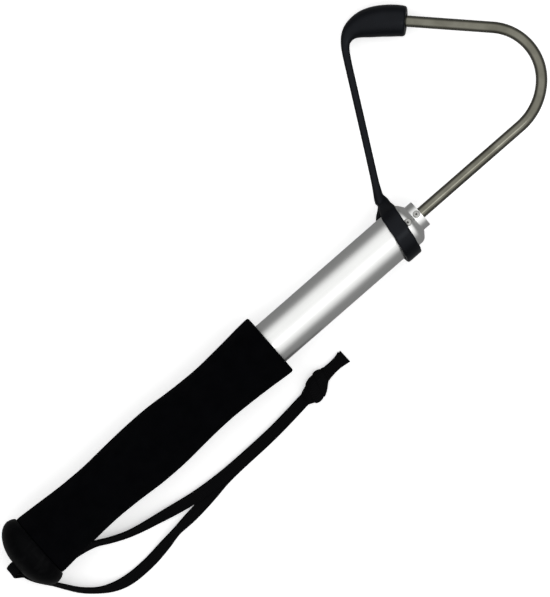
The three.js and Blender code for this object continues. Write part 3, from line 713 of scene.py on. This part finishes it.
# ---- Pole ----

TUBE_PROFILE = (
    (7, 12.4, 0.3), (7, 13.6, 0.3), (306.5, 13.6, 2.2), (309.95, 9.0, 0.12), (309.35, 8.9, 0.2),
    (306, 12.4, 1.2),
)
INNER_PROFILE = ((62, 7.6, 0.2), (62, 8.6, 0.2), (315, 8.6, 0.16), (315, 7.6, 0.14))
GRIP_OUTLINE = ((18.42, 20.7), (61, 18.1), (108, 19.9), (155, 17.9), (196.6, 20.5))
GRIP_BORE = 13.9
GRIP_STEP = 2.5
GRIP_DENT = 0.16
GRIP_DENT_SIZE = 16
CAP_RADIUS = 23.2
CAP_DEPTH = 13.7
CAP_FLAT_RADIUS = 6.6
CAP_SOCKET = 13.9
CAP_FLOOR_X = 6.5
CAP_STEPS = 24
SLOT_HALF_WIDTH = 4.3
SLOT_HALF_HEIGHT = 2
SLOT_CORNER = 1.2


def grip_profile():
    rows = [(x, radius, 0) for x, radius in GRIP_OUTLINE]
    outline = [(x, radius, 0) for x, radius, _ in curve_rows(rows, GRIP_STEP)]
    rear, front = outline[0], outline[-1]
    corners = [
        (rear[0], GRIP_BORE, 0.4),
        (rear[0], rear[1] - 0.2, 0.8),
        *outline[1:-1],
        (front[0] + 1.8, front[1], 1.7),
        (front[0] + 1.8, GRIP_BORE, 0.6),
    ]
    return filleted(corners)


def dent(piece, size, depth):
    """Gives a turned piece the slight unevenness of soft foam."""
    for vertex in piece.data.vertices:
        out = Vector((0, vertex.co.y - POLE.y, vertex.co.z - POLE.z))
        if out.length > (GRIP_BORE + 1) * MM:
            shift = noise.noise(vertex.co / (size * MM)) - 0.35
            vertex.co += out.normalized() * shift * depth * MM


def cap_profile():
    flat = math.asin(CAP_FLAT_RADIUS / CAP_RADIUS)
    dome = []
    for i in range(CAP_STEPS + 1):
        angle = flat + (math.pi / 2 - flat) * i / CAP_STEPS
        dome.append((CAP_DEPTH * (1 - math.cos(angle)), CAP_RADIUS * math.sin(angle), 0))
    corners = [
        (dome[0][0], 0, 0),
        (dome[0][0], CAP_FLAT_RADIUS - 0.4, 0.5),
        *dome[1:],
        (16.3, 22.6, 1),
        (18.4, 21.3, 0.4),
        (18.4, CAP_SOCKET, 0.5),
        (CAP_FLOOR_X, CAP_SOCKET, 0.5),
        (CAP_FLOOR_X, 0, 0),
    ]
    return filleted(corners)


def rounded_slot():
    """The outline of the cap's slot, as y and z."""
    points = []
    for side_y, side_z, quarter in ((1, 1, 0), (-1, 1, 1), (-1, -1, 2), (1, -1, 3)):
        for step in range(6):
            angle = (quarter + step / 5) * math.pi / 2
            points.append((
                side_y * (SLOT_HALF_WIDTH - SLOT_CORNER) + SLOT_CORNER * math.cos(angle),
                side_z * (SLOT_HALF_HEIGHT - SLOT_CORNER) + SLOT_CORNER * math.sin(angle),
            ))
    return points


def cut_slot(cap):
    rings = [[AT_POLE @ Vector((x, y, z)) for y, z in rounded_slot()] for x in (-5, 10)]
    cutter = skinned("slot_cutter", rings)
    modifier = cap.modifiers.new("slot", "BOOLEAN")
    modifier.object = cutter
    modifier.operation = "DIFFERENCE"
    apply_modifiers(cap)
    soften(cap.data)
    bpy.data.objects.remove(cutter)


def make_pole():
    complete(turned("outer_tube_drawn", filleted(TUBE_PROFILE)), "satin_aluminium", "handle", "outer_tube")
    complete(
        turned("inner_tube_drawn", filleted(INNER_PROFILE)), "satin_aluminium", "inner_section", "inner_tube"
    )
    grip = turned("foam_grip_turned", grip_profile())
    dent(grip, GRIP_DENT_SIZE, GRIP_DENT)
    complete(grip, "black_foam", "handle", "foam_grip")
    cap = turned("butt_cap_moulded", cap_profile())
    cut_slot(cap)
    complete(cap, "cap_rubber", "handle", "butt_cap")


make_pole()


# ---- Rivets ----

RIVET_HEIGHT = 0.62
RIVET_SHANK = 1
BUSH_RIVET_X = 305.6
BUSH_RIVET_CLOCK = math.radians(-3.9)
BUSH_RIVET_SEAT = 13.7
BUSH_RIVET_HEAD = 2.3
BUSH_RIVET_TIP = 10.4
HOOK_RIVET_X = 312.6
HOOK_RIVET_SEAT = 8.7
HOOK_RIVET_HEAD = 2.15


def rivet_head(seat, size):
    """Profile from the rim of a rivet's head to its dimpled middle, as height and radius."""
    top = seat + RIVET_HEIGHT
    return [
        (seat, size, 0),
        (seat + 0.24, size, 0.14),
        (top - 0.08, size * 0.66, 0.4),
        (top, 0.62, 0.12),
        (top - 0.32, 0.42, 0.1),
        (top - 0.36, 0, 0),
    ]


def rivet(name, profile, upright, reach, body, *nodes):
    """A rivet whose rim and dimple are painted dark as the shade that falls there. Reach is the radius of its
    head.
    """
    piece = turned(name, filleted(profile), upright, sides=48)
    complete(piece, "rivet_aluminium", body, *nodes)
    piece.data.materials.append(FINISHES["rivet_painted_shade"])
    back = upright.inverted()
    # The rim and the dimple's walls take the second, dark finish: painted shade.
    for face in piece.data.polygons:
        spot = back @ face.center
        from_axis = math.hypot(spot.y, spot.z)
        if from_axis > reach * 0.93 or (from_axis < 0.58 and abs(face.normal.x) < 0.99):
            face.material_index = 1


def make_rivets():
    stood_up = Matrix.Rotation(-math.pi / 2, 4, "Y")
    for name, half_turn in (("bush_rivet_top", 0), ("bush_rivet_bottom", math.pi)):
        spin = Matrix.Rotation(BUSH_RIVET_CLOCK + half_turn, 4, "X")
        upright = AT_POLE @ Matrix.Translation((BUSH_RIVET_X, 0, 0)) @ spin @ stood_up
        profile = [
            (BUSH_RIVET_TIP, 0, 0),
            (BUSH_RIVET_TIP, RIVET_SHANK, 0.2),
            (BUSH_RIVET_SEAT, RIVET_SHANK, 0),
            *rivet_head(BUSH_RIVET_SEAT, BUSH_RIVET_HEAD),
        ]
        rivet(name + "_head", profile, upright, BUSH_RIVET_HEAD, "handle", name)
    upright = AT_HOOK @ Matrix.Translation((HOOK_RIVET_X, 0, 0)) @ stood_up
    head = rivet_head(HOOK_RIVET_SEAT, HOOK_RIVET_HEAD)
    foot = [(-height, radius, fillet) for height, radius, fillet in reversed(head)]
    profile = [*foot, (-HOOK_RIVET_SEAT, RIVET_SHANK, 0), (HOOK_RIVET_SEAT, RIVET_SHANK, 0), *head]
    rivet("hook_rivet_heads", profile, upright, HOOK_RIVET_HEAD, "inner_section", "hook_rivet")


make_rivets()


# ---- Hook ----


def wire_stations():
    """The hook's centre line in its own plane, as x, y, heading and distance from its start."""
    runs = (
        (BEND_START_X - WIRE_REAR_X, 0),
        (FIRST_BEND[0] * FIRST_BEND[1], FIRST_BEND[1]),
        (SECOND_BEND[0] * SECOND_BEND[1], SECOND_BEND[1]),
        (LEG_LENGTH + POINT_IN_BOOT, 0),
    )
    x, y, heading, distance = WIRE_REAR_X, 0, 0, 0
    stations = [(x, y, heading, distance)]
    for length, turn in runs:
        count = math.ceil(length / WIRE_STEP)
        for _ in range(count):
            middle = heading + turn / count / 2
            x += length / count * math.cos(middle)
            y += length / count * math.sin(middle)
            heading += turn / count
            distance += length / count
            stations.append((x, y, heading, distance))
    return stations


def make_hook():
    stations = wire_stations()
    end = stations[-1][3]
    rings = []
    for x, y, heading, distance in stations:
        radius = WIRE_RADIUS * min(1, max((end - distance) / POINT_TAPER, POINT_BLUNT))
        ring = []
        for i in range(WIRE_SIDES):
            angle = 2 * math.pi * i / WIRE_SIDES
            inward = radius * math.cos(angle)
            ring.append(AT_HOOK @ Vector((
                x - inward * math.sin(heading),
                y + inward * math.cos(heading),
                radius * math.sin(angle),
            )))
        rings.append(ring)
    # The share of the way round runs out and back, so that the streaks meet without a seam.
    acrosses = [abs(1 - 2 * i / WIRE_SIDES) * math.pi * WIRE_RADIUS * MM for i in range(WIRE_SIDES)]
    wire = skinned("hook_wire", rings)
    mark_runs(wire, [distance * MM for _, _, _, distance in stations], acrosses)
    complete(wire, "stainless_wire", "inner_section", "hook")
    return stations[-1]


point_x, point_y, leg_heading, _ = make_hook()


# ---- Rubber cover ----

# Centre line from the ring to the mouth of the boot: x, y, width in the hook's plane, depth across it.
COVER_LINE = (
    (300.6, 19.6, 5.6, 9),
    (302.2, 22.6, 6, 7),
    (303.9, 25.8, 5.5, 5),
    (306.4, 30.6, 4.9, 4),
    (314, 44.7, 4.7, 3.6),
    (324, 63.4, 4.7, 3.6),
    (334, 82.2, 4.7, 3.6),
    (342.6, 98.2, 4.8, 3.7),
    (345.3, 102.6, 5.1, 4.1),
    (347.2, 104.9, 5.6, 4.8),
    (350, 106.9, 7.4, 6.2),
    (354, 108.1, 10.4, 9),
    (358.4, 107.8, 13.6, 12.4),
    (362.9, 106.4, 16.4, 15.6),
    (367.2, 104.2, 18, 17.6),
    (371.2, 101.6, 18.7, 18.6),
    (375.1, 98.5, 19, 19),
    (378.9, 95.2, 18.8, 18.8),
    (382, 92, 18.2, 18.2),
)
COVER_LINE_STEP = 1.2
# The boot's rounded mouth and its bore: distance in from the mouth and diameter.
BOOT_INSIDE = (
    (-0.5, 17.2), (-0.8, 15), (-0.9, 12), (-0.7, 9.4), (-0.1, 7.7), (0.8, 7.4), (8, 7.4), (25, 1.6),
)


def oval(x, y, across_x, across_y, width, depth):
    """A ring of points round a centre in the hook's plane."""
    ring = []
    for i in range(COVER_SIDES):
        angle = 2 * math.pi * i / COVER_SIDES
        out = width / 2 * math.cos(angle)
        ring.append(AT_HOOK @ Vector((x + across_x * out, y + across_y * out, depth / 2 * math.sin(angle))))
    return ring


def cover_arm():
    """The strap and the boot, with the boot's bore, as one skin."""
    rows = [(x, y, 0, width, depth) for x, y, width, depth in COVER_LINE]
    line = curve_rows(rows, COVER_LINE_STEP)
    rings = []
    for i, (x, y, _, width, depth) in enumerate(line):
        before, after = line[max(i - 1, 0)], line[min(i + 1, len(line) - 1)]
        ahead = Vector((after[0] - before[0], after[1] - before[1])).normalized()
        rings.append(oval(x, y, -ahead.y, ahead.x, width, depth))
    along_x, along_y = math.cos(leg_heading), math.sin(leg_heading)
    mouth_x, mouth_y = point_x - POINT_IN_BOOT * along_x, point_y - POINT_IN_BOOT * along_y
    for depth_in, diameter in BOOT_INSIDE:
        x, y = mouth_x + depth_in * along_x, mouth_y + depth_in * along_y
        rings.append(oval(x, y, along_y, -along_x, diameter, diameter))
    return skinned("cover_arm", rings)


def ring_lean(turn):
    """How far the band's middle stands forward at that share of a turn from the strap."""
    place = turn * len(RING_LEAN)
    before = int(place)
    share = (1 - math.cos((place - before) * math.pi)) / 2
    near, far = RING_LEAN[before % len(RING_LEAN)], RING_LEAN[(before + 1) % len(RING_LEAN)]
    return near + (far - near) * share


def cover_band():
    """The ring round the mouth, drawn out towards the strap."""
    outer = RING_INNER_RADIUS + RING_WALL
    middle = RING_INNER_RADIUS + RING_WALL / 2
    section = filleted([
        (-RING_HALF_WIDTH, RING_INNER_RADIUS, RING_INNER_EDGE),
        (-RING_HALF_WIDTH, outer, RING_EDGE),
        (RING_HALF_WIDTH, outer, RING_EDGE),
        (RING_HALF_WIDTH, RING_INNER_RADIUS, RING_INNER_EDGE),
    ])
    rings = []
    for i in range(RING_STEPS):
        turn = i / RING_STEPS
        angle = 2 * math.pi * turn
        from_strap = min(angle, 2 * math.pi - angle)
        tear = max(0, RING_TEAR_ANGLE - from_strap)
        drawn_out = middle / math.cos(tear) - middle
        narrowing = 1 - (1 - RING_TIP_SHARE) * tear / RING_TEAR_ANGLE
        ring = []
        for offset, radius in section:
            reach = radius + drawn_out
            x = RING_X + ring_lean(turn) + offset * narrowing
            ring.append(AT_HOOK @ Vector((x, reach * math.cos(angle), reach * math.sin(angle))))
        rings.append(ring)
    return skinned("cover_band", rings, looped=True)


def moulded_together(first, second, voxel, smoothing):
    """Joins two overlapping closed pieces into one moulding with softened edges."""
    merge = first.modifiers.new("merge", "BOOLEAN")
    merge.object = second
    merge.operation = "UNION"
    remesh = first.modifiers.new("remesh", "REMESH")
    remesh.mode = "VOXEL"
    remesh.voxel_size = voxel
    smooth = first.modifiers.new("smooth", "SMOOTH")
    smooth.factor = COVER_SMOOTHING_SHARE
    smooth.iterations = smoothing
    apply_modifiers(first)
    first.data.shade_smooth()
    bpy.data.objects.remove(second)
    return first


def make_cover():
    cover = moulded_together(cover_arm(), cover_band(), COVER_VOXEL, COVER_SMOOTHING)
    cover.name = "point_cover"
    cover.data.materials.append(FINISHES["cover_rubber"])
    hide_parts("cover_ring", "cover_strap", "cover_boot")
    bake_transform(cover)


make_cover()


# ---- Inner parts kept from the CAD ----

KEPT = {
    "mouth_bush": "grey_nylon",
    "lanyard_pin": "plain_steel",
    "lock_expander": "grey_nylon",
    "lock_cone": "lock_brass",
    "stop_collar": "grey_nylon",
    "stud_plug": "grey_nylon",
    "stud_pin": "plain_steel",
    "lock_stud": "plain_steel",
    "stud_end_nut": "plain_steel",
    "hook_plug": "satin_aluminium",
}
for node, finish in KEPT.items():
    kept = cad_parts[node]
    if not kept.material_slots:
        kept.data.materials.append(None)
    for kept_slot in kept.material_slots:
        kept_slot.material = FINISHES[finish]


# ---- Floor and light ----

FLOOR_HALF = 3
FLOOR_DROP = 0.0004
FLOOR_GLOW = 0.42
SIDE_LIGHT = 0.22
TOP_LIGHT = 1.06
SOFTBOX_POWER = 0.95
SOFTBOX_SIZE = 0.42
SOFTBOX_PLACE = (0.1, -0.48, 1.36)
# The studio's walls turn from grey to white between these heights, as parts of the way up.
WALL_GREY_TO = 0.05
WALL_WHITE_FROM = 0.8


def make_floor():
    corners = [(x * FLOOR_HALF, y * FLOOR_HALF, -FLOOR_DROP) for x, y in ((-1, -1), (1, -1), (1, 1), (-1, 1))]
    floor = new_piece("floor", corners, [(0, 1, 2, 3)])
    made = Finish("floor", (0.95, 0.95, 0.95), 0.9, Specular_IOR_Level=0.1, Emission_Strength=FLOOR_GLOW,
                  Emission_Color=(1, 1, 1, 1))
    made.colour(made.noise(3, 2), (0.955, 0.955, 0.955), (0.94, 0.94, 0.94))
    floor.data.materials.append(made.material)
    floor.visible_glossy = False


def make_softbox():
    """A square light that faces the middle of the floor."""
    data = bpy.data.lights.new("softbox", "AREA")
    data.shape = "SQUARE"
    data.size = SOFTBOX_SIZE
    data.energy = SOFTBOX_POWER
    light = bpy.data.objects.new("softbox", data)
    bpy.context.scene.collection.objects.link(light)
    light.location = SOFTBOX_PLACE
    light.rotation_euler = (-Vector(SOFTBOX_PLACE)).to_track_quat("-Z", "Y").to_euler()


def make_world():
    """A studio that is white overhead and grey towards the horizon, which greys the edges of round metal."""
    world = bpy.data.worlds.new("studio")
    bpy.context.scene.world = world
    world.use_nodes = True
    tree = world.node_tree
    direction = tree.nodes.new("ShaderNodeTexCoord")
    parts = tree.nodes.new("ShaderNodeSeparateXYZ")
    height = tree.nodes.new("ShaderNodeMapRange")
    height.interpolation_type = "SMOOTHSTEP"
    height.inputs["From Min"].default_value = WALL_GREY_TO
    height.inputs["From Max"].default_value = WALL_WHITE_FROM
    height.inputs["To Min"].default_value = SIDE_LIGHT
    height.inputs["To Max"].default_value = TOP_LIGHT
    tree.links.new(direction.outputs["Generated"], parts.inputs[0])
    tree.links.new(parts.outputs["Z"], height.inputs["Value"])
    tree.links.new(height.outputs[0], tree.nodes["Background"].inputs["Strength"])
    tree.nodes["Background"].inputs["Color"].default_value = (1, 1, 1, 1)


def make_light():
    make_world()
    make_softbox()
    view = bpy.context.scene.view_settings
    view.view_transform = "Standard"
    view.look = "None"


make_floor()
make_light()

bpy.context.view_layer.update()
